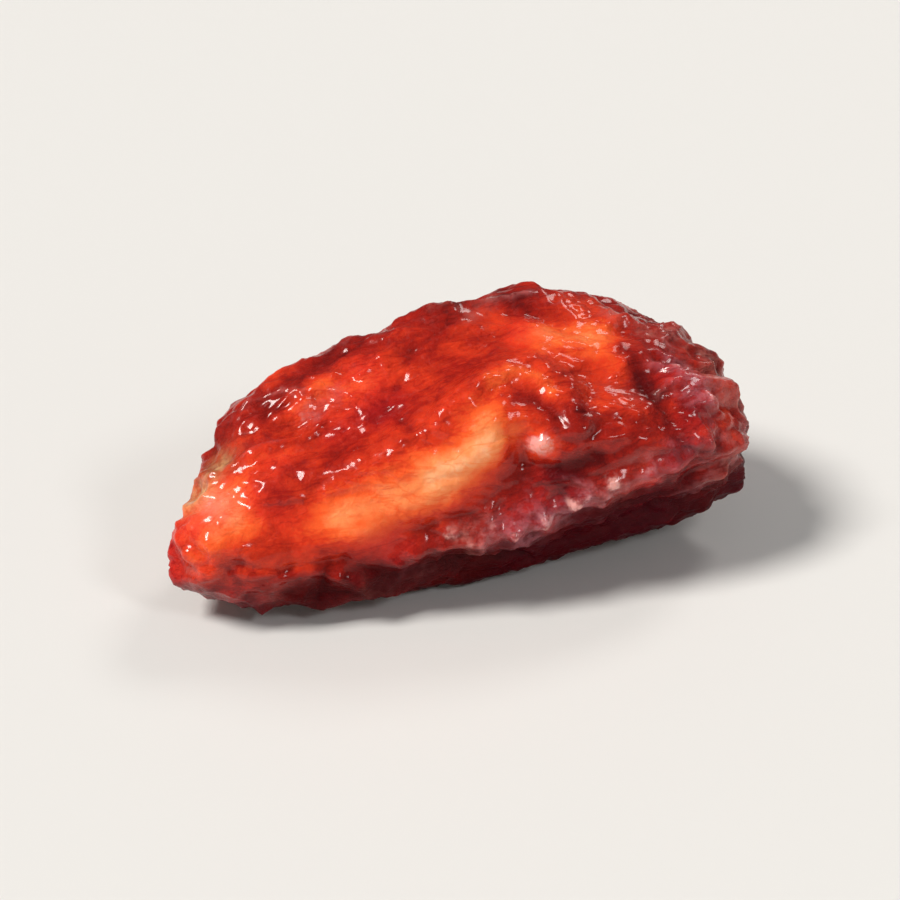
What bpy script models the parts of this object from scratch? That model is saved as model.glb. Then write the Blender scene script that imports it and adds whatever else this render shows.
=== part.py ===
"""Dried pomegranate seed: one aril, its pulp shrunk and dried on to its kernel.

The seed lies lengthwise along X, with its narrow end at -X and its blunt end
at +X. It stands on z = 0 on the small flat spot that it dried on, and the
origin is on that plane, under the middle of the seed's box. The numbers here
are millimetres; MM turns them into metres when the mesh is written.
"""

import bmesh
import bpy
import numpy as np

MM = 0.001

# Driving dimensions, in millimetres.
LENGTH = 8.2  # along X, narrow end to blunt end
WIDTH = 4.1  # along Y
HEIGHT = 3.4  # along Z, from the rest spot to the highest fold
REST_CUT = 0.16  # what the rest spot takes off the rounded underside
SPHERE_STEPS = 5  # subdivisions of the icosphere: 5 gives 5,120 triangles
SNAP = 0.05  # a point this near the rest plane is moved on to it

# The kernel is a long polyhedron with soft edges: its neighbours in the fruit
# pressed these facets on to it. Each row is the direction that a facet faces
# (x, y, z), and its distance from the kernel's middle.
FACETS = (
    ((-0.34, -0.24, 0.91), 1.60),  # upper face, sloping down to the narrow end
    ((0.10, -0.26, 0.96), 1.74),  # upper face, blunt half
    ((-0.20, -0.93, 0.14), 1.88),  # front flank, narrow half
    ((0.06, -0.90, -0.42), 2.02),  # front flank, blunt half, leaning under
    ((-0.14, 0.62, 0.72), 1.60),  # back bevel
    ((-0.14, 0.98, -0.10), 1.72),  # back flank
    ((0.04, 0.66, -0.75), 1.72),  # under bevel, back
    ((0.08, -0.62, -0.78), 2.06),  # under bevel, front
    ((-0.15, -0.08, -0.98), 1.88),  # underside, narrow half
    ((0.15, -0.04, -0.98), 1.94),  # underside, blunt half
    ((-0.64, -0.05, -0.77), 3.86),  # under the narrow end
    ((-0.76, -0.06, 0.62), 2.74),  # top of the narrow end
    ((-0.80, -0.60, 0.00), 4.10),  # front of the narrow end
    ((-0.44, 0.88, 0.12), 2.06),  # back flank, narrow half
    ((-0.76, 0.64, 0.10), 2.72),  # back of the narrow end
    ((-1.00, 0.00, -0.25), 4.62),  # tip
    ((1.00, -0.10, -0.10), 4.30),  # blunt end
    ((0.74, -0.62, 0.20), 4.00),  # blunt end, front
    ((0.66, 0.60, 0.40), 3.10),  # blunt end, back
    ((0.55, -0.05, 0.82), 2.85),  # blunt end, top
    ((0.66, -0.10, -0.70), 4.25),  # blunt end, underneath
)
EDGE_SOFTNESS = 11.0  # power of the facets' blend: lower is rounder

# Folds of the dried skin, with a plus sign, and hollows, with a minus sign.
# Each is (height, half width, path). A path's places are (along, round): along
# is -1 at the narrow end and 1 at the blunt end, and round is an angle about X
# in degrees, 0 at the back, 90 at the top and 180 at the front.
FOLDS = (
    # the long crest where the kernel presses through, low at the narrow end
    (0.20, 0.36, ((-0.86, 206), (-0.69, 200), (-0.45, 190), (-0.23, 172), (-0.02, 154), (0.08, 142))),
    # the hooked ridge on the upper face, and the pit that it curls round
    (0.15, 0.20, ((-0.06, 131), (0.11, 118), (0.27, 117), (0.34, 130), (0.29, 146))),
    (-0.18, 0.25, ((0.14, 147), (0.16, 163))),
    # the sunken upper face, between the crest and the rim at the back
    (-0.16, 0.48, ((-0.66, 118), (-0.36, 122), (-0.05, 104), (0.14, 98))),
    (0.12, 0.26, ((-0.60, 70), (-0.34, 64), (-0.10, 66), (0.12, 74), (0.34, 68))),
    (0.16, 0.24, ((-0.04, 70), (0.08, 76))),
    # the lobe over the kernel's blunt end
    (0.15, 0.46, ((0.34, 104), (0.52, 112))),
    # skin gathered round the blunt end
    (0.11, 0.17, ((0.60, 138), (0.74, 142), (0.90, 168), (0.94, 205))),
    (0.10, 0.15, ((0.58, 88), (0.74, 100), (0.92, 112))),
    (-0.09, 0.16, ((0.66, 122), (0.84, 134), (0.97, 150))),
    (0.09, 0.16, ((0.66, 40), (0.84, 52), (0.95, 30))),
    (-0.08, 0.18, ((0.70, 5), (0.88, 350), (0.96, 280))),
    # the pinched seam between the front flank and the leaning part under it
    (0.13, 0.19, ((-0.20, 199), (0.07, 190), (0.26, 184), (0.40, 174), (0.58, 166), (0.76, 172))),
    (-0.15, 0.42, ((0.00, 214), (0.35, 208), (0.66, 200))),
    (0.08, 0.16, ((-0.02, 232), (0.36, 226), (0.70, 222))),
    # the back: one long ridge between two shallow hollows
    (0.15, 0.24, ((-0.70, 352), (-0.30, 346), (0.15, 352), (0.52, 358), (0.78, 344))),
    (-0.15, 0.42, ((-0.42, 22), (-0.05, 26), (0.34, 24))),
    (-0.10, 0.34, ((-0.30, 318), (0.20, 322), (0.55, 318))),
    (0.09, 0.18, ((-0.62, 38), (-0.18, 46), (0.06, 36))),
)

# The skin shrank more than the kernel, so it is lumpy and creased all over.
LUMP_SIZE, LUMP_HEIGHT, LUMP_SEED = 1.5, 0.075, 11
CREASE_SIZE, CREASE_DEPTH, CREASE_SEED = 0.95, 0.085, 23
GRAIN = (0.48, 1.0, 1.0)  # the creases run along the seed
SMOOTH_BELOW = 0.55  # creases fade over this height above the rest spot


def unit(vectors):
    return vectors / np.linalg.norm(vectors, axis=-1, keepdims=True)


def noise(points, size, seed):
    """Smooth random lumps, about -1 to 1, that are size apart."""
    rng = np.random.default_rng(seed)
    table = rng.permutation(256)
    slopes = unit(rng.normal(size=(256, 3)))
    p = points / size
    cell = np.floor(p).astype(int)
    f = p - cell
    blend = f * f * f * (f * (f * 6 - 15) + 10)
    total = np.zeros(len(p))
    for corner in np.ndindex(2, 2, 2):
        x, y, z = (cell + corner).T
        slope = slopes[table[(table[(table[x & 255] + y) & 255] + z) & 255]]
        share = np.where(corner, blend, 1 - blend).prod(axis=1)
        total += share * ((f - corner) * slope).sum(axis=1)
    return total * 1.6


def kernel(directions):
    """The soft-edged polyhedron's points in these unit directions, and its
    outward normals there."""
    total = np.zeros(len(directions))
    outward = np.zeros_like(directions)
    for facing, distance in FACETS:
        facing = np.array(facing) / np.linalg.norm(facing)
        near = np.maximum(directions @ facing, 0) / distance
        total += near**EDGE_SOFTNESS
        outward += (near ** (EDGE_SOFTNESS - 1) / distance)[:, None] * facing
    return directions * (total ** (-1 / EDGE_SOFTNESS))[:, None], unit(outward)


def place(along, around):
    """The kernel's point at a share of its length and an angle about X."""
    angle = np.radians(around)
    girth = np.sqrt(1 - along * along)
    stretched = (
        along * LENGTH / 2,
        girth * np.cos(angle) * WIDTH / 2,
        girth * np.sin(angle) * HEIGHT / 2,
    )
    return kernel(unit(np.array([stretched])))[0][0]


def distance_to_path(points, path):
    """How far each point is from the line through these places."""
    corners = [place(*step) for step in path]
    nearest = np.full(len(points), np.inf)
    for start, end in zip(corners, corners[1:]):
        run = end - start
        share = np.clip((points - start) @ run / (run @ run), 0, 1)
        gap = np.linalg.norm(points - start - share[:, None] * run, axis=1)
        nearest = np.minimum(nearest, gap)
    return nearest


def dried_skin(directions):
    """The seed's surface in these unit directions."""
    points, outward = kernel(directions)
    height = np.zeros(len(points))
    for rise, half_width, path in FOLDS:
        height += rise * np.exp(-((distance_to_path(points, path) / half_width) ** 2))
    height += LUMP_HEIGHT * noise(points, LUMP_SIZE, LUMP_SEED)
    drift = 0.35 * noise(points, 1.3, CREASE_SEED + 1)
    grained = points * GRAIN + drift[:, None]
    crease = (1 - np.abs(noise(grained, CREASE_SIZE, CREASE_SEED))) ** 3
    above_rest = points[:, 2] - points[:, 2].min() - REST_CUT
    fade = np.clip(above_rest / SMOOTH_BELOW, 0, 1)
    height -= CREASE_DEPTH * crease * fade * fade * (3 - 2 * fade)
    return points + outward * height[:, None]


def seed_mesh():
    """The skin over a sphere's mesh, at its real size, cut flat at z = 0."""
    bm = bmesh.new()
    bmesh.ops.create_icosphere(bm, subdivisions=SPHERE_STEPS, radius=1)
    sphere = np.array([vert.co for vert in bm.verts])
    points = dried_skin(unit(sphere * (LENGTH, WIDTH, HEIGHT)))

    points[:, 2] -= points[:, 2].min() + REST_CUT
    low, high = points.min(axis=0), points.max(axis=0)
    low[2] = 0
    middle = (low + high) / 2
    middle[2] = 0
    points = (points - middle) * (LENGTH, WIDTH, HEIGHT) / (high - low)
    points[np.abs(points[:, 2]) < SNAP, 2] = 0
    for vert, point in zip(bm.verts, points):
        vert.co = point

    bmesh.ops.bisect_plane(
        bm,
        geom=bm.verts[:] + bm.edges[:] + bm.faces[:],
        dist=1e-4,
        plane_co=(0, 0, 0),
        plane_no=(0, 0, -1),
        clear_outer=True,
    )
    rim = [edge for edge in bm.edges if edge.is_boundary]
    spot = bmesh.ops.contextual_create(bm, geom=rim)["faces"]
    bmesh.ops.triangulate(bm, faces=spot, ngon_method="BEAUTY")
    bmesh.ops.recalc_face_normals(bm, faces=bm.faces[:])
    bmesh.ops.scale(bm, vec=(MM, MM, MM), verts=bm.verts[:])

    mesh = bpy.data.meshes.new("pomegranate_seed")
    bm.to_mesh(mesh)
    bm.free()
    mesh.shade_smooth()
    mesh.set_sharp_from_angle(angle=np.radians(50))
    return mesh


def dried_pulp():
    """Glossy deep orange-red skin, dried on to the kernel."""
    material = bpy.data.materials.new("dried_pulp")
    material.use_nodes = True
    shader = material.node_tree.nodes["Principled BSDF"]
    shader.inputs["Base Color"].default_value = (0.36, 0.045, 0.018, 1)
    shader.inputs["Roughness"].default_value = 0.34
    shader.inputs["Metallic"].default_value = 0.0
    material.diffuse_color = (0.36, 0.045, 0.018, 1)
    return material


def main():
    for obj in list(bpy.data.objects):
        bpy.data.objects.remove(obj)
    mesh = seed_mesh()
    mesh.materials.append(dried_pulp())
    seed = bpy.data.objects.new("pomegranate_seed", mesh)
    collection = bpy.data.collections.new("dried_pomegranate_seed")
    bpy.context.scene.collection.children.link(collection)
    collection.objects.link(seed)


main()
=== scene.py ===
"""Dried pomegranate seed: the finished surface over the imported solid.

The seed is one aril whose pulp has dried on to its kernel. Its form is the
solid's own: the same facets, folds, lumps and creases, worked out here on a
much finer mesh, with the small wrinkles, pinches and gathers of the dried skin
added. Shapes are worked out in millimetres and written in metres.
"""

import math

import bmesh
import bpy
import numpy as np
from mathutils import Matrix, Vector


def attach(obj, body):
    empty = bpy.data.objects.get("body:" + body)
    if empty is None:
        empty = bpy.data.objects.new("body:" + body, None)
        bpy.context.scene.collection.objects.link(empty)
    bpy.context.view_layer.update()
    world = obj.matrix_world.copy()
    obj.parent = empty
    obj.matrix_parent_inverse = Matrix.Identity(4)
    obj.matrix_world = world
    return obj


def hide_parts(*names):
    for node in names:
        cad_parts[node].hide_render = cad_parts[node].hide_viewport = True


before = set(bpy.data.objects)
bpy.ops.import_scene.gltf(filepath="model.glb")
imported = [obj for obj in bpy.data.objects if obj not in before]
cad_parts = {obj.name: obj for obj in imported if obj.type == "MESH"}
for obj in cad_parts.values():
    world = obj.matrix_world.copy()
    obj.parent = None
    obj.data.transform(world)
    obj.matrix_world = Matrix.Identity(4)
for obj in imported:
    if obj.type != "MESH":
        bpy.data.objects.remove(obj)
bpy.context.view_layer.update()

MM = 0.001
NODE = "pomegranate_seed"

# ---------------------------------------------------------------- the form
# These are the solid's own facets and folds.
LENGTH, WIDTH, HEIGHT = 8.2, 4.1, 3.4
REST_CUT = 0.16
FACETS = (
    ((-0.34, -0.24, 0.91), 1.60),  # upper face, sloping down to the narrow end
    ((0.10, -0.26, 0.96), 1.74),  # upper face, blunt half
    ((-0.20, -0.93, 0.14), 1.88),  # front flank, narrow half
    ((0.06, -0.90, -0.42), 2.02),  # front flank, blunt half, leaning under
    ((-0.14, 0.62, 0.72), 1.60),  # back bevel
    ((-0.14, 0.98, -0.10), 1.72),  # back flank
    ((0.04, 0.66, -0.75), 1.72),  # under bevel, back
    ((0.08, -0.62, -0.78), 2.06),  # under bevel, front
    ((-0.15, -0.08, -0.98), 1.88),  # underside, narrow half
    ((0.15, -0.04, -0.98), 1.94),  # underside, blunt half
    ((-0.64, -0.05, -0.77), 3.86),  # under the narrow end
    ((-0.76, -0.06, 0.62), 2.74),  # top of the narrow end
    ((-0.80, -0.60, 0.00), 4.10),  # front of the narrow end
    ((-0.44, 0.88, 0.12), 2.06),  # back flank, narrow half
    ((-0.76, 0.64, 0.10), 2.72),  # back of the narrow end
    ((-1.00, 0.00, -0.25), 4.62),  # tip
    ((1.00, -0.10, -0.10), 4.30),  # blunt end
    ((0.74, -0.62, 0.20), 4.00),  # blunt end, front
    ((0.66, 0.60, 0.40), 3.10),  # blunt end, back
    ((0.55, -0.05, 0.82), 2.85),  # blunt end, top
    ((0.66, -0.10, -0.70), 4.25),  # blunt end, underneath
)
EDGE_SOFTNESS = 11.0
CREST = ((-0.86, 206), (-0.69, 200), (-0.45, 190), (-0.23, 172), (-0.02, 154), (0.08, 142))
HOOK = ((-0.06, 131), (0.11, 118), (0.27, 117), (0.34, 130), (0.29, 146))
PIT = ((0.14, 147), (0.16, 163))
VALLEY = ((-0.66, 118), (-0.36, 122), (-0.05, 104), (0.14, 98))
LOBE = ((0.34, 104), (0.52, 112))
SEAM = ((-0.20, 199), (0.07, 190), (0.26, 184), (0.40, 174), (0.58, 166), (0.76, 172))
BACK_RIDGE = ((-0.70, 352), (-0.30, 346), (0.15, 352), (0.52, 358), (0.78, 344))
FOLDS = (  # height, half width, path of (along, round) places
    (0.20, 0.36, CREST),
    (0.15, 0.20, HOOK),
    (-0.18, 0.25, PIT),
    (-0.16, 0.48, VALLEY),
    (0.12, 0.26, ((-0.60, 70), (-0.34, 64), (-0.10, 66), (0.12, 74), (0.34, 68))),
    (0.16, 0.24, ((-0.04, 70), (0.08, 76))),
    (0.15, 0.46, LOBE),
    (0.11, 0.17, ((0.60, 138), (0.74, 142), (0.90, 168), (0.94, 205))),
    (0.10, 0.15, ((0.58, 88), (0.74, 100), (0.92, 112))),
    (-0.09, 0.16, ((0.66, 122), (0.84, 134), (0.97, 150))),
    (0.09, 0.16, ((0.66, 40), (0.84, 52), (0.95, 30))),
    (-0.08, 0.18, ((0.70, 5), (0.88, 350), (0.96, 280))),
    (0.13, 0.19, SEAM),
    (-0.15, 0.42, ((0.00, 214), (0.35, 208), (0.66, 200))),
    (0.08, 0.16, ((-0.02, 232), (0.36, 226), (0.70, 222))),
    (0.15, 0.24, BACK_RIDGE),
    (-0.15, 0.42, ((-0.42, 22), (-0.05, 26), (0.34, 24))),
    (-0.10, 0.34, ((-0.30, 318), (0.20, 322), (0.55, 318))),
    (0.09, 0.18, ((-0.62, 38), (-0.18, 46), (0.06, 36))),
)
LUMP_SIZE, LUMP_HEIGHT, LUMP_SEED = 1.5, 0.075, 11
CREASE_SIZE, CREASE_DEPTH, CREASE_SEED = 0.95, 0.085, 23
GRAIN = (0.48, 1.0, 1.0)
SMOOTH_BELOW = 0.55

# ------------------------------------------------- what the solid leaves out
CELLS = (208, 104, 88)  # quads along X, Y and Z: 98,176 in all
LIFT = 0.16  # moves the mesh's finer part towards the top

RIM = ((-0.72, 84), (-0.34, 70), (-0.02, 70), (0.20, 78), (0.50, 70), (0.84, 60))
UPPER_FACE = ((-0.50, 140), (-0.20, 122), (0.06, 106))
FLANK = ((-0.80, 226), (-0.25, 218), (0.10, 214), (0.45, 208), (0.72, 206))
PUCKERS = ((-0.80, 214), (-0.50, 210), (-0.20, 202), (0.10, 192), (0.40, 178), (0.66, 170))
SCAR = ((-0.985, 178), (-0.985, 182))
TAN_SKIN = ((-0.985, 178), (-0.955, 112))
HOOK_TOP = ((0.02, 130), (0.10, 124), (0.17, 122), (0.22, 123), (0.26, 128), (0.26, 134))
CRESCENT = ((0.10, 141), (0.15, 134), (0.22, 135), (0.24, 142))
BEAD = ((0.185, 152), (0.200, 152))
SPARKLE = ((-0.12, 192), (0.03, 189), (0.17, 187), (0.29, 181), (0.38, 172), (0.48, 165), (0.62, 163))
BAND = ((-0.06, 191), (0.13, 188), (0.27, 185), (0.36, 180), (0.41, 175))
BAND_END = ((0.41, 175), (0.49, 168), (0.58, 164), (0.68, 166))
END_ARC = ((0.62, 124), (0.66, 132), (0.67, 149), (0.64, 162))
# Where the pale film lies thickest, and pale patches painted as highlights: (strength, half width,
# path).
VEIL = (
    (1.00, 0.19, BAND),
    (0.40, 0.17, BAND_END),
    (0.80, 0.09, END_ARC),
    (0.60, 0.11, ((0.56, 86), (0.66, 95), (0.71, 106))),
    (0.30, 0.11, ((0.47, 130), (0.49, 140))),
    (0.50, 0.14, ((0.14, 80), (0.24, 75))),
    # painted highlight: a pale pink patch on the upper face near the narrow end
    (0.50, 0.16, ((-0.60, 101), (-0.46, 98))),
)
# Small beads of dried syrup, each carrying a painted pale highlight: (strength, along, round). Most
# lie along the seam.
BEADS = (
    (0.8, -0.11, 190), (0.4, -0.04, 194), (0.4, 0.04, 187), (0.6, 0.11, 191), (0.3, 0.14, 183),
    (0.7, 0.22, 188), (1.0, 0.29, 178), (0.5, 0.33, 186), (1.0, 0.38, 170), (0.3, 0.47, 167),
    (0.4, 0.61, 165), (0.6, 0.66, 131), (0.7, 0.68, 150), (0.4, 0.60, 96), (0.3, 0.67, 104),
    (0.4, -0.64, 101), (0.3, -0.47, 97),
)
# Where the skin is wet with its own syrup, and shines: (strength, half width, path).
WET = (
    (1.0, 0.20, BEAD),
    (0.9, 0.13, SPARKLE),
    (0.7, 0.22, BAND),
    (0.6, 0.20, BAND_END),
    (0.8, 0.12, HOOK_TOP),
    (0.8, 0.24, ((-0.63, 100), (-0.44, 98))),
    (0.8, 0.20, ((0.14, 80), (0.24, 76))),
    (0.6, 0.26, ((0.66, 112), (0.76, 128), (0.72, 150))),
)

# Where the kernel presses through and the skin is tight: (strength, half
# width, path).
TIGHT = (
    (0.92, 0.50, ((-0.60, 196), (-0.45, 190), (-0.23, 172), (-0.02, 154), (0.08, 142))),
    (0.66, 0.50, UPPER_FACE),
    (0.80, 0.50, ((0.30, 106), (0.58, 116))),
    (0.60, 0.34, BACK_RIDGE),
    (0.50, 0.50, ((-0.40, 20), (0.30, 20))),
    (0.50, 0.45, ((-0.30, 318), (0.30, 322))),
)
# Small folds that the solid is too coarse for: (height, half width, path).
SMALL_FOLDS = (
    (0.115, 0.145, HOOK_TOP),
    (0.020, 0.100, ((0.28, 136), (0.27, 146))),
    (-0.045, 0.100, CRESCENT),
    (0.170, 0.150, BEAD),
    (0.060, 0.090, END_ARC),
    (-0.050, 0.110, ((0.57, 120), (0.55, 136), (0.53, 150))),
    (0.130, 0.220, ((0.02, 205), (0.30, 197), (0.62, 188))),
    (-0.100, 0.420, ((0.78, 222), (0.84, 236))),
    (-0.050, 0.110, ((0.14, 152), (0.16, 162), (0.26, 164))),
    (0.035, 0.100, ((-0.25, 201), (-0.05, 196), (0.16, 188), (0.36, 178), (0.56, 167), (0.74, 172))),
    (0.040, 0.070, ((0.28, 157), (0.38, 153), (0.48, 146))),
    (0.035, 0.060, ((0.20, 171), (0.32, 168), (0.42, 160))),
    (0.055, 0.085, ((0.10, 199), (0.34, 193), (0.52, 184), (0.70, 186))),
    (0.050, 0.080, ((-0.55, 226), (-0.22, 222), (0.08, 216), (0.30, 214))),
    (0.050, 0.080, ((0.20, 226), (0.44, 219), (0.66, 216), (0.80, 222))),
    (0.050, 0.075, ((-0.20, 240), (0.14, 238), (0.50, 232))),
    (0.060, 0.085, ((-0.93, 212), (-0.78, 217), (-0.58, 211))),
    (-0.050, 0.080, ((-0.84, 206), (-0.66, 207), (-0.46, 203))),
    (0.050, 0.075, ((-0.86, 229), (-0.66, 233), (-0.44, 226))),
    (0.055, 0.075, ((-0.52, 209), (-0.38, 214), (-0.24, 208))),
    (0.045, 0.065, ((-0.74, 222), (-0.62, 219), (-0.50, 223))),
    (0.060, 0.090, ((-0.80, 100), (-0.58, 92), (-0.40, 86))),
    (0.045, 0.070, ((-0.84, 128), (-0.66, 120), (-0.50, 108))),
    (0.050, 0.075, ((-0.30, 92), (-0.12, 84), (0.02, 88))),
    (0.070, 0.090, ((0.50, 128), (0.62, 118), (0.74, 122), (0.86, 134))),
    (0.060, 0.080, ((0.56, 96), (0.66, 84), (0.80, 86))),
    (0.060, 0.080, ((0.62, 150), (0.74, 158), (0.88, 190), (0.92, 225))),
    (-0.050, 0.08, ((0.58, 142), (0.72, 149), (0.86, 168))),
    (0.055, 0.080, ((0.52, 40), (0.70, 28), (0.88, 20))),
    (0.055, 0.080, ((0.60, 340), (0.76, 330), (0.90, 300))),
    (0.050, 0.080, ((-0.50, 6), (-0.20, 10), (0.12, 4), (0.40, 12))),
    (0.045, 0.075, ((-0.66, 330), (-0.40, 322), (-0.10, 326))),
    (0.045, 0.070, ((-0.90, 60), (-0.74, 48), (-0.58, 52))),
    (0.045, 0.070, ((-0.92, 300), (-0.74, 316), (-0.60, 322))),
)
# Film folds, sharp along their tops: (height, size, power, grain along X, seed).
FILM = (
    (0.095, 0.92, 4.5, 0.50, 31),
    (0.060, 0.50, 3.5, 0.62, 37),
    (0.026, 0.26, 2.6, 0.85, 41),
)
# How the pulp's thickness changes, with painted shade along the flank below the seam and in the
# hook's grooves: (change, half width, path).
PULP = (
    (-0.20, 0.44, CREST),
    (-0.33, 0.40, ((-0.52, 175), (-0.37, 170), (-0.20, 164), (-0.04, 154), (0.06, 147))),
    (-0.10, 0.26, ((-0.12, 157), (0.02, 149))),
    (-0.36, 0.42, ((-0.96, 184), (-0.84, 172))),
    (0.14, 0.26, ((-0.90, 206), (-0.72, 210), (-0.54, 212))),
    (0.12, 0.18, ((-0.66, 197), (-0.48, 194))),
    (-0.34, 0.46, ((0.38, 98), (0.50, 104))),
    (-0.16, 0.26, ((0.50, 116), (0.54, 122))),
    (0.25, 0.14, ((0.58, 116), (0.55, 136), (0.52, 150))),
    (-0.26, 0.17, HOOK_TOP[1:]),
    # darker in the groove inside the hook: partly thicker pulp, partly painted shade
    (0.20, 0.11, CRESCENT),
    (0.12, 0.11, ((0.32, 124), (0.33, 136), (0.30, 146))),
    (0.17, 0.20, ((0.31, 84), (0.41, 88))),
    # darker in the hollow round the bead: partly thicker pulp, partly painted shade
    (0.28, 0.13, ((0.115, 152), (0.14, 161), (0.24, 166), (0.34, 161))),
    # painted highlight: the bead in the pit is made lighter
    (-0.40, 0.19, BEAD),
    (0.05, 0.46, UPPER_FACE[1:]),
    (-0.05, 0.40, ((-0.52, 142), (-0.34, 132))),
    (-0.12, 0.24, ((-0.60, 94), (-0.50, 90))),
    (-0.12, 0.20, ((-0.82, 130), (-0.74, 128))),
    (-0.10, 0.22, ((0.14, 84), (0.26, 84))),
    (0.14, 0.32, ((0.82, 60), (0.89, 120), (0.89, 170), (0.84, 230))),
    (-0.16, 0.30, BACK_RIDGE[:4]),
    (-0.14, 0.26, ((-0.60, 60), (-0.20, 58), (0.10, 64))),
    (0.08, 0.26, RIM),
    (-0.10, 0.44, ((-0.68, 106), (-0.50, 108), (-0.24, 98))),
    (-0.13, 0.26, ((0.38, 142), (0.46, 144))),
    # painted shade: darker along the flank below the seam
    (0.30, 0.30, ((-0.50, 224), (-0.25, 214), (0.0, 206), (0.3, 200), (0.6, 192))),
)


def unit(vectors):
    return vectors / np.linalg.norm(vectors, axis=-1, keepdims=True)


def ramp(low, high, values):
    """0 at low, 1 at high, and smooth between."""
    x = np.clip((values - low) / (high - low), 0, 1)
    return x * x * (3 - 2 * x)


def noise(points, size, seed):
    """Smooth random lumps, about -1 to 1, that are size apart."""
    rng = np.random.default_rng(seed)
    table = rng.permutation(256)
    slopes = unit(rng.normal(size=(256, 3)))
    p = points / size
    cell = np.floor(p).astype(int)
    f = p - cell
    blend = f * f * f * (f * (f * 6 - 15) + 10)
    total = np.zeros(len(p))
    for corner in np.ndindex(2, 2, 2):
        x, y, z = (cell + corner).T
        slope = slopes[table[(table[(table[x & 255] + y) & 255] + z) & 255]]
        share = np.where(corner, blend, 1 - blend).prod(axis=1)
        total += share * ((f - corner) * slope).sum(axis=1)
    return total * 1.6


def ridges(points, size, power, seed):
    """Narrow random lines, 1 along their tops and 0 between them."""
    return np.maximum(1 - np.abs(noise(points, size, seed)), 0) ** power


def cushions(points, size, seed):
    """How far each point is from the crease between two cells of a shrunken
    skin, in cell sizes."""
    rng = np.random.default_rng(seed)
    table = rng.permutation(256)
    middles = rng.random((256, 3))
    p = points / size
    cell = np.floor(p).astype(int)
    first = np.full(len(p), 9.0)
    second = np.full(len(p), 9.0)
    for step in np.ndindex(3, 3, 3):
        c = cell + step - 1
        x, y, z = c.T
        middle = c + middles[table[(table[(table[x & 255] + y) & 255] + z) & 255]]
        gap = np.linalg.norm(p - middle, axis=1)
        second = np.minimum(second, np.maximum(first, gap))
        first = np.minimum(first, gap)
    return second - first


def kernel(directions):
    """The soft-edged polyhedron's points in these unit directions, and its
    outward normals there."""
    total = np.zeros(len(directions))
    outward = np.zeros_like(directions)
    for facing, distance in FACETS:
        facing = np.array(facing) / np.linalg.norm(facing)
        near = np.maximum(directions @ facing, 0) / distance
        total += near**EDGE_SOFTNESS
        outward += (near ** (EDGE_SOFTNESS - 1) / distance)[:, None] * facing
    return directions * (total ** (-1 / EDGE_SOFTNESS))[:, None], unit(outward)


def place(along, around):
    """The kernel's point at a share of its length and an angle about X."""
    angle = np.radians(around)
    girth = np.sqrt(1 - along * along)
    stretched = (
        along * LENGTH / 2,
        girth * np.cos(angle) * WIDTH / 2,
        girth * np.sin(angle) * HEIGHT / 2,
    )
    return kernel(unit(np.array([stretched])))[0][0]


def distance_to_path(points, path):
    """How far each point is from the line through these places."""
    corners = [place(*step) for step in path]
    nearest = np.full(len(points), np.inf)
    for start, end in zip(corners, corners[1:]):
        run = end - start
        share = np.clip((points - start) @ run / max(run @ run, 1e-12), 0, 1)
        gap = np.linalg.norm(points - start - share[:, None] * run, axis=1)
        nearest = np.minimum(nearest, gap)
    return nearest


def near(points, path, half_width):
    """1 on the line through these places, and 0 far from it."""
    return np.exp(-((distance_to_path(points, path) / half_width) ** 2))


def box_mesh():
    """A box from -1 to 1, cut into CELLS."""
    bm = bmesh.new()
    bmesh.ops.create_cube(bm, size=2)
    for axis, cells in enumerate(CELLS):
        edges = [
            edge
            for edge in bm.edges
            if abs(edge.verts[0].co[axis] - edge.verts[1].co[axis]) > 1.999
        ]
        bmesh.ops.subdivide_edges(bm, edges=edges, cuts=cells - 1, use_grid_fill=True)
    return bm


def solid_form(directions):
    """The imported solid's own surface in these unit directions."""
    points, outward = kernel(directions)
    height = np.zeros(len(points))
    for rise, half_width, path in FOLDS:
        height += rise * near(points, path, half_width)
    height += LUMP_HEIGHT * noise(points, LUMP_SIZE, LUMP_SEED)
    drift = 0.35 * noise(points, 1.3, CREASE_SEED + 1)
    grained = points * GRAIN + drift[:, None]
    crease = (1 - np.abs(noise(grained, CREASE_SIZE, CREASE_SEED))) ** 3
    above_rest = points[:, 2] - points[:, 2].min() - REST_CUT
    fade = ramp(0, SMOOTH_BELOW, above_rest)
    height -= CREASE_DEPTH * crease * fade
    return points, outward, points + outward * height[:, None], crease


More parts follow.
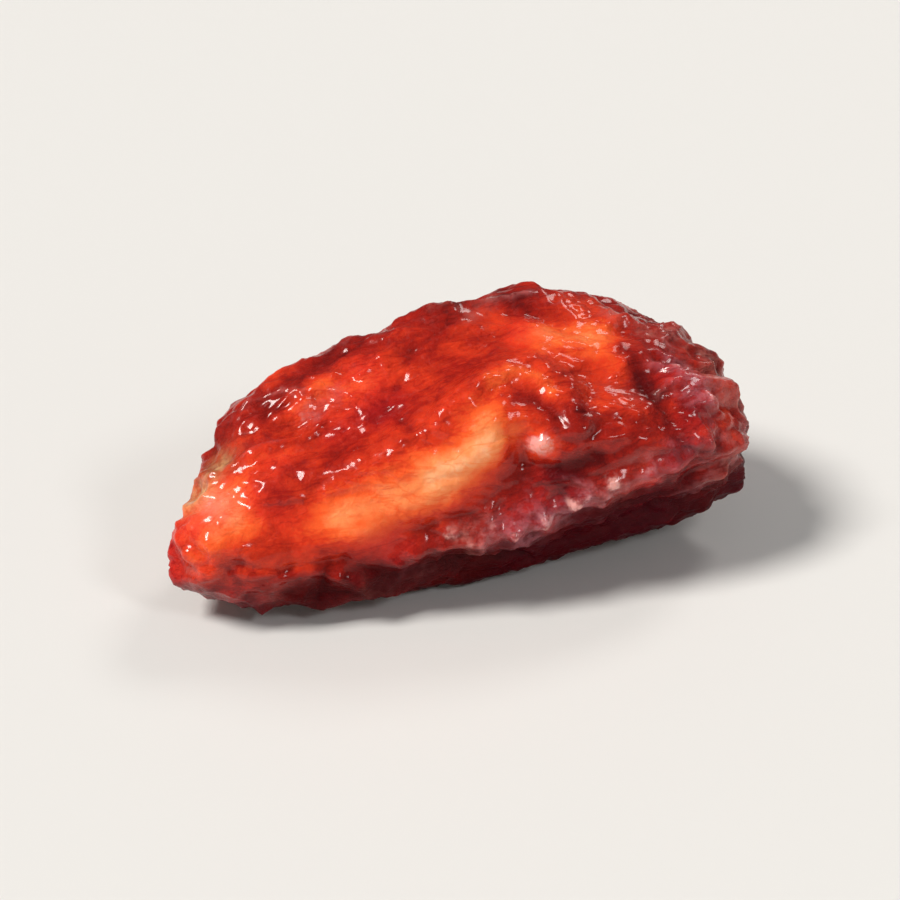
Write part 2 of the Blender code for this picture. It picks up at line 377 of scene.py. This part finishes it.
def skin(directions):
    """The seed's surface in these unit directions, in millimetres, the height
    of its rest plane, and the fields that its material follows."""
    points, outward, form, crease = solid_form(directions)
    floor = form[:, 2].min() + REST_CUT
    along = form[:, 0] / (LENGTH / 2)
    warp = np.stack([noise(form, 0.8, seed) for seed in (61, 62, 63)], axis=1)
    wavy = points + 0.08 * np.stack([noise(form, 0.45, s) for s in (64, 65, 66)], axis=1)

    # where the skin is tight, and where it is loose
    tight = np.zeros(len(points))
    for strength, half_width, path in TIGHT:
        tight = np.maximum(tight, strength * near(points, path, half_width))
    blunt = ramp(0.50, 0.84, along)
    narrow = ramp(0.72, 0.98, -along)
    seam = near(points, SEAM, 0.34)
    flank = near(points, FLANK, 0.50)
    rim = near(points, RIM, 0.34)
    loose = 0.72 + 0.3 * noise(points, 1.7, 51) + 0.45 * blunt + 0.2 * narrow
    loose = np.clip(loose + 0.35 * seam + 0.35 * flank + 0.15 * rim, 0, 1.4)
    loose *= 1 - 0.88 * tight

    folds = np.zeros(len(points))
    for rise, half_width, path in SMALL_FOLDS:
        folds += rise * near(wavy, path, half_width)
    detail = folds.copy()

    beads = np.zeros(len(points))
    for strength, *spot in BEADS:
        size = 0.055 + 0.040 * strength
        beads = np.maximum(beads, strength * near(wavy, (spot, spot), size))
    detail += 0.075 * beads
    # the mask for the beads' painted pale highlight, strongest on the bead in the pit
    beads = np.maximum(0.9 * beads, near(points, BEAD, 0.14))

    pearls = ramp(0.0, 0.55, noise(form, 0.24, 87))
    detail += 0.050 * pearls * near(wavy, SPARKLE, 0.12)
    wet = np.zeros(len(points))
    for strength, half_width, path in WET:
        wet = np.maximum(wet, strength * near(wavy, path, half_width))
    wet = np.maximum(wet, np.minimum(2 * beads, 1))

    film = np.zeros(len(points))
    for rise, size, power, grain, seed in FILM:
        line = ridges((form + 0.22 * size * warp) * (grain, 1, 1), size, power, seed)
        film += line * rise / 0.09
        detail += rise * line * loose

    # cushions between fine creases, longer along the seed
    cushion = ramp(0.0, 0.42, cushions((form + 0.10 * warp) * (0.55, 1, 1), 0.34, 71))
    detail += 0.024 * cushion * (0.35 + 0.65 * np.minimum(loose, 1) + 0.8 * flank)

    # puckers across the pinched seam
    pucker = ridges((form + 0.10 * warp) * (1, 0.22, 0.22), 0.40, 1.6, 95)
    seamed = near(points, PUCKERS, 0.30)
    detail += 0.085 * (pucker - 0.4) * seamed

    # gathers that run into both ends
    angle = np.arctan2(form[:, 2], form[:, 1])
    girth = np.hypot(form[:, 1], form[:, 2])
    around = np.stack(
        [2.1 * np.cos(angle), 2.1 * np.sin(angle), 1.6 * along + 0.6 * warp[:, 0]], axis=1
    )
    gather = ridges(around, 0.95, 2.5, 81)
    ends = np.maximum(blunt, 0.6 * narrow)
    detail += 0.095 * gather * ends * ramp(0.2, 0.9, girth)

    # fine crinkles, and the kernel's long grain where the skin is tight
    crinkle = ridges((form + 0.03 * warp) * (0.7, 1, 1), 0.17, 1.8, 83)
    detail += 0.024 * crinkle * np.minimum(0.15 + loose, 1)
    strands = noise(form * (0.22, 1, 1) + 0.05 * warp, 0.15, 85)
    detail += 0.007 * strands * tight
    detail += 0.005 * noise(form, 0.14, 91)

    # the scar at the narrow end
    scar_gap = distance_to_path(points, SCAR)
    detail += 0.075 * np.exp(-(((scar_gap - 0.24) / 0.09) ** 2))
    detail -= 0.060 * np.exp(-((scar_gap / 0.14) ** 2))

    # how thick the dried pulp is over the kernel, with painted shade added on the flank below the
    # seam, on faces turned downwards and in the creases: 0 is bare, 1 is black-red
    pulp = 0.55 + 0.08 * noise(form, 1.25, 101) + 0.07 * noise(form, 0.52, 102)
    for change, half_width, path in PULP:
        pulp += change * near(form, path, half_width)
    # painted shade: the flank below the seam gets thicker, black-red pulp, and most of its pale film
    # is taken off
    turn = np.degrees(np.arctan2(form[:, 2], -form[:, 1]))  # 0 in front, -90 below
    seam_places = [-0.3, -0.1, 0.07, 0.26, 0.40, 0.58, 0.76]
    seam_turn = np.interp(along, seam_places, [-22, -14, -11, -9, 1, 12, 8])
    seam_turn += 5 * noise(form, 0.7, 93) - 6 * (pucker - 0.4)
    below = ramp(-7, -26, turn - seam_turn) * ramp(0.5, -0.6, form[:, 1])
    pulp += 0.30 * below * ramp(-0.45, 0.05, along)
    # painted shade: faces turned downwards are darker
    pulp += 0.16 * ramp(0.4, -0.9, outward[:, 2])
    # darker in the creases and between the cushions: partly thicker pulp lying in them, partly
    # painted shade
    pulp += 0.10 * (crease - 0.3) + 0.07 * (0.5 - cushion) * np.minimum(loose, 1)
    pulp += 0.05 * (film - 0.8) * loose + 0.04 * strands * tight

    # the dull film along the tops of the folds, with painted pale highlights along the seam, on the
    # beads and on patches listed in VEIL
    frost_and_highlight = film * loose * 0.7 + 0.6 * gather * ends + 0.45 * crinkle
    frost_and_highlight = ramp(0.95, 1.5, frost_and_highlight)
    frost_and_highlight *= 0.20 + np.maximum(0.28 * blunt, 0.45 * np.maximum(seam, 0.8 * rim))
    frost_and_highlight *= (1 - 0.92 * below) * (1 - 0.6 * flank)
    # painted highlights: pale spots along the seam's sparkle line
    frost_and_highlight = np.maximum(frost_and_highlight, near(wavy, SPARKLE, 0.13) * pearls)
    for strength, half_width, path in VEIL:
        veil = strength * near(wavy, path, half_width)
        veil *= 0.42 + 0.58 * np.maximum(pearls, beads)
        frost_and_highlight = np.maximum(frost_and_highlight, veil * (1 - 0.7 * below))

    fields = {
        "pulp": np.clip(pulp, 0, 1),
        "frost_and_highlight": np.clip(frost_and_highlight, 0, 1),
        "loose": np.clip(loose, 0, 1),
        "wet": wet,
        "bead_highlight": beads,
        "scar": np.maximum(np.exp(-((scar_gap / 0.30) ** 2)), 0.8 * near(wavy, TAN_SKIN, 0.24)),
    }
    detail += 0.7 * near(points, BEAD, 0.16) * (folds - detail)
    detail *= 0.2 + 0.8 * ramp(0.0, 0.25, form[:, 2] - floor)
    return form + outward * detail[:, None], floor, fields


def fit(points, floor):
    """The points moved into the solid's box, standing on z = 0."""
    points = points - (0, 0, floor)
    low, high = points.min(axis=0), points.max(axis=0)
    low[2] = 0
    middle = (low + high) / 2
    middle[2] = 0
    points = (points - middle) * (LENGTH, WIDTH, HEIGHT) / (high - low)
    points[:, 2] = np.maximum(points[:, 2], 0)
    return points


def seed_object():
    bm = box_mesh()
    box = np.array([vert.co for vert in bm.verts])
    sphere = unit(unit(np.tan(box * math.pi / 4)) + (0, 0, LIFT))
    points, floor, fields = skin(unit(sphere * (LENGTH, WIDTH, HEIGHT)))
    points = fit(points, floor) * MM
    for vert, point in zip(bm.verts, points):
        vert.co = point
    bmesh.ops.recalc_face_normals(bm, faces=bm.faces[:])
    mesh = bpy.data.meshes.new("dried_pulp_skin")
    bm.to_mesh(mesh)
    bm.free()
    for name, values in fields.items():
        mesh.attributes.new(name, "FLOAT", "POINT").data.foreach_set("value", values)
    mesh.shade_smooth()
    seed = bpy.data.objects.new("dried_pulp_skin", mesh)
    bpy.context.scene.collection.objects.link(seed)
    return seed


# ------------------------------------------------------------- the material
PULP_COLOURS = (  # thin to thick
    (0.00, (0.97, 0.49, 0.25)),
    (0.13, (0.95, 0.28, 0.092)),
    (0.29, (0.88, 0.115, 0.024)),
    (0.44, (0.66, 0.040, 0.011)),
    (0.60, (0.34, 0.012, 0.006)),
    (0.77, (0.12, 0.0040, 0.004)),
    (1.00, (0.060, 0.0020, 0.003)),
)


class Nodes:
    """A short way to add and join a material's nodes."""

    def __init__(self, tree):
        self.tree = tree

    def add(self, kind, values=(), **settings):
        node = self.tree.nodes.new(kind)
        for name, value in settings.items():
            setattr(node, name, value)
        for name, value in dict(values).items():
            self.put(node.inputs[name], value)
        return node

    def put(self, socket, value):
        if isinstance(value, bpy.types.NodeSocket):
            self.tree.links.new(value, socket)
        else:
            socket.default_value = value

    def math(self, operation, a, b=0.0, clamp=False):
        node = self.add("ShaderNodeMath", {0: a, 1: b}, operation=operation, use_clamp=clamp)
        return node.outputs[0]

    def attribute(self, name):
        return self.add("ShaderNodeAttribute", attribute_name=name).outputs["Fac"]

    def noise(self, where, size, detail=2.0, rough=0.5, distortion=0.0):
        """Noise about 0 to 1 whose lumps are size millimetres apart."""
        node = self.add(
            "ShaderNodeTexNoise",
            {
                "Vector": where,
                "Scale": 1 / (size * MM),
                "Detail": detail,
                "Roughness": rough,
                "Distortion": distortion,
            },
        )
        return node.outputs["Fac"]

    def mix(self, factor, a, b, blend="MIX"):
        node = self.add("ShaderNodeMix", data_type="RGBA", blend_type=blend)
        self.put(node.inputs[0], factor)
        self.put(node.inputs[6], a)
        self.put(node.inputs[7], b)
        return node.outputs[2]

    def span(self, value, low, high, to_low=0.0, to_high=1.0):
        node = self.add(
            "ShaderNodeMapRange",
            {0: value, 1: low, 2: high, 3: to_low, 4: to_high},
            interpolation_type="SMOOTHSTEP",
        )
        return node.outputs[0]


def dried_pulp():
    """Glossy translucent pulp, golden where it is thin over the kernel, then orange, red and
    black-red as it thickens or lies in painted shade, with a dull film on its folds and painted pale
    highlights on its beads and along its seam."""
    material = bpy.data.materials.new("dried_pulp")
    material.use_nodes = True
    n = Nodes(material.node_tree)
    shader = material.node_tree.nodes["Principled BSDF"]
    where = n.add("ShaderNodeTexCoord").outputs["Object"]
    names = ("pulp", "frost_and_highlight", "loose", "wet", "bead_highlight", "scar")
    pulp, frost_and_highlight, loose, wet, bead_highlight, scar = map(n.attribute, names)

    mottle = n.noise(where, 0.42, 3.0, 0.6, 0.4)
    speck = n.noise(where, 0.11, 2.0, 0.55)
    drift = n.noise(where, 1.6, 1.0)
    long_way = n.add("ShaderNodeMapping", {"Vector": where, "Scale": (0.28, 1.0, 1.0)}).outputs[0]
    veins = n.noise(long_way, 0.30, 3.0, 0.6, 0.6)
    veins = n.math("ABSOLUTE", n.math("SUBTRACT", veins, 0.5))
    veins = n.span(veins, 0.0, 0.045, 1.0, 0.0)

    thick = n.math("ADD", pulp, n.math("MULTIPLY", n.math("SUBTRACT", mottle, 0.5), 0.20))
    thick = n.math("ADD", thick, n.math("MULTIPLY", n.math("SUBTRACT", speck, 0.5), 0.14))
    thick = n.math("ADD", thick, n.math("MULTIPLY", veins, 0.05))
    colours = n.add("ShaderNodeValToRGB", {0: thick})
    stops = colours.color_ramp.elements
    for position, _ in PULP_COLOURS[1:-1]:
        stops.new(position)
    for stop, (position, colour) in zip(stops, PULP_COLOURS):
        stop.position = position
        stop.color = (*colour, 1)
    colour = colours.outputs[0]
    # some of it is crimson, not orange
    crimson = n.mix(1.0, colour, (0.94, 0.45, 1.6, 1), "MULTIPLY")
    colour = n.mix(n.span(drift, 0.50, 0.72, 0.0, 0.65), colour, crimson)
    # the dull film on the folds, and painted pale highlights on the seam and beads
    dull_film_and_highlight = n.math("MULTIPLY", frost_and_highlight, n.span(speck, 0.34, 0.60, 0.25, 1.0), clamp=True)
    film = n.mix(n.span(drift, 0.4, 0.65), (0.70, 0.22, 0.18, 1), (0.66, 0.23, 0.27, 1))
    film = n.mix(n.span(frost_and_highlight, 0.50, 0.90), film, (0.80, 0.37, 0.38, 1))
    colour = n.mix(n.math("MULTIPLY", dull_film_and_highlight, 0.70), colour, film)
    # painted highlights: the beads of syrup are painted paler, pink-white
    pale = n.math("MULTIPLY", bead_highlight, n.span(speck, 0.30, 0.65, 0.5, 1.3))
    colour = n.mix(n.span(pale, 0.15, 0.80, 0.0, 0.66), colour, (0.94, 0.48, 0.43, 1))
    # the woody scar
    wood = n.mix(n.span(speck, 0.35, 0.65), (0.34, 0.13, 0.05, 1), (0.62, 0.33, 0.15, 1))
    colour = n.mix(n.math("MULTIPLY", scar, n.span(mottle, 0.3, 0.6, 0.5, 1.0)), colour, wood)
    n.put(shader.inputs["Base Color"], colour)

    rough = n.math("ADD", 0.32, n.math("MULTIPLY", mottle, 0.16))
    rough = n.math("ADD", rough, n.math("MULTIPLY", dull_film_and_highlight, 0.20))
    n.put(shader.inputs["Roughness"], rough)

    grain = n.noise(where, 0.075, 3.0, 0.6, 0.3)
    less_long = n.add("ShaderNodeMapping", {"Vector": where, "Scale": (0.5, 1.0, 1.0)}).outputs[0]
    pebble = n.add(
        "ShaderNodeTexVoronoi", {"Vector": less_long, "Scale": 1 / (0.13 * MM)}, feature="SMOOTH_F1"
    ).outputs["Distance"]
    crepe = n.noise(less_long, 0.17, 2.0, 0.5, 0.5)
    crepe = n.math("ABSOLUTE", n.math("SUBTRACT", crepe, 0.5))
    relief = n.math("ADD", n.math("MULTIPLY", grain, 0.9), n.math("MULTIPLY", pebble, -0.8))
    relief = n.math("ADD", relief, n.math("MULTIPLY", crepe, -2.2))
    strength = n.math("ADD", 0.42, n.math("MULTIPLY", loose, 0.58))
    bump = n.add(
        "ShaderNodeBump", {"Strength": strength, "Distance": 0.034 * MM, "Height": relief}
    )
    n.put(shader.inputs["Normal"], bump.outputs[0])

    gloss = n.math("ADD", 0.24, n.math("MULTIPLY", loose, 0.50))
    gloss = n.math("MULTIPLY", gloss, n.span(pulp, 0.60, 0.92, 1.0, 0.10))
    gloss = n.math("MULTIPLY", gloss, n.span(dull_film_and_highlight, 0.1, 0.9, 1.0, 0.60))
    gloss = n.math("MAXIMUM", gloss, wet, clamp=True)
    n.put(shader.inputs["Coat Weight"], gloss)
    shader.inputs["Coat Roughness"].default_value = 0.13
    shader.inputs["Coat IOR"].default_value = 1.45
    shader.inputs["Specular IOR Level"].default_value = 0.04
    shader.inputs["Subsurface Weight"].default_value = 0.28
    shader.inputs["Subsurface Radius"].default_value = (1.0, 0.24, 0.12)
    shader.inputs["Subsurface Scale"].default_value = 0.35 * MM
    return material


# ------------------------------------------------------- floor, light, camera
def stage_objects():
    """A pale floor, and a pale backdrop that curves up from it all round."""
    material = bpy.data.materials.new("floor")
    material.use_nodes = True
    shader = material.node_tree.nodes["Principled BSDF"]
    shader.inputs["Base Color"].default_value = (0.72, 0.71, 0.69, 1)
    shader.inputs["Roughness"].default_value = 0.65
    flat, bend = 0.12, 0.40
    turns = np.radians(np.linspace(0, 55, 19))
    curve = [(flat + bend * math.sin(t), bend - bend * math.cos(t)) for t in turns]
    profiles = {
        "floor": [(0.0, 0.0), (flat, 0.0)],
        "backdrop": curve,
    }
    for name, profile in profiles.items():
        bm = bmesh.new()
        line = [bm.verts.new((out, 0, up)) for out, up in profile]
        edges = [bm.edges.new(pair) for pair in zip(line, line[1:])]
        bmesh.ops.spin(
            bm, geom=line + edges, axis=(0, 0, 1), cent=(0, 0, 0),
            steps=96, angle=2 * math.pi, use_merge=True,
        )
        bmesh.ops.remove_doubles(bm, verts=bm.verts[:], dist=1e-6)
        bmesh.ops.recalc_face_normals(bm, faces=bm.faces[:])
        mesh = bpy.data.meshes.new(name)
        bm.to_mesh(mesh)
        bm.free()
        mesh.shade_smooth()
        mesh.materials.append(material)
        obj = bpy.data.objects.new(name, mesh)
        bpy.context.scene.collection.objects.link(obj)
        obj.visible_glossy = name == "floor"


def aimed(obj, direction, distance, target):
    direction = Vector(direction).normalized()
    obj.location = target + direction * distance
    obj.rotation_mode = "QUATERNION"
    obj.rotation_quaternion = (-direction).to_track_quat("-Z", "Y")


def area_light(name, direction, distance, size, watts, colour, target):
    light = bpy.data.lights.new(name, "AREA")
    light.shape = "DISK"
    light.size = size
    light.energy = watts
    light.color = colour
    obj = bpy.data.objects.new(name, light)
    bpy.context.scene.collection.objects.link(obj)
    aimed(obj, direction, distance, target)


def camera_and_lights():
    azimuth, elevation = math.radians(-19), math.radians(31)
    back = Vector(
        (
            math.sin(azimuth) * math.cos(elevation),
            -math.cos(azimuth) * math.cos(elevation),
            math.sin(elevation),
        )
    )
    right = Vector((math.cos(azimuth), math.sin(azimuth), 0))
    above = Vector((0, 0, 1))
    target = Vector((0.0, 0.0, 0.0015))
    data = bpy.data.cameras.new("camera")
    data.lens = 200
    data.sensor_width = 36
    data.clip_start = 0.0005
    data.clip_end = 10
    camera = bpy.data.objects.new("camera", data)
    bpy.context.scene.collection.objects.link(camera)
    aimed(camera, back, 12.0 / 36 * 0.2, target)
    bpy.context.scene.camera = camera

    key = back * 0.35 - right * 0.85 + above
    fill = back + right * 0.9 + above * 0.5
    rim = -back * 0.8 + right * 0.5 + above * 1.2
    area_light("key", key, 3.0, 1.02, 94.0, (1.0, 0.97, 0.93), target)
    area_light("fill", fill, 3.0, 0.66, 17.0, (0.97, 0.98, 1.0), target)
    area_light("rim", rim, 3.0, 0.90, 18.0, (1.0, 0.98, 0.95), target)

    world = bpy.data.worlds.new("studio")
    world.use_nodes = True
    background = world.node_tree.nodes["Background"]
    background.inputs["Color"].default_value = (0.92, 0.94, 0.97, 1)
    background.inputs["Strength"].default_value = 0.10
    bpy.context.scene.world = world
    bpy.context.scene.view_settings.view_transform = "Standard"


seed = seed_object()
seed.data.materials.append(dried_pulp())
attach(seed, "root")
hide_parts(NODE)
stage_objects()
camera_and_lights()
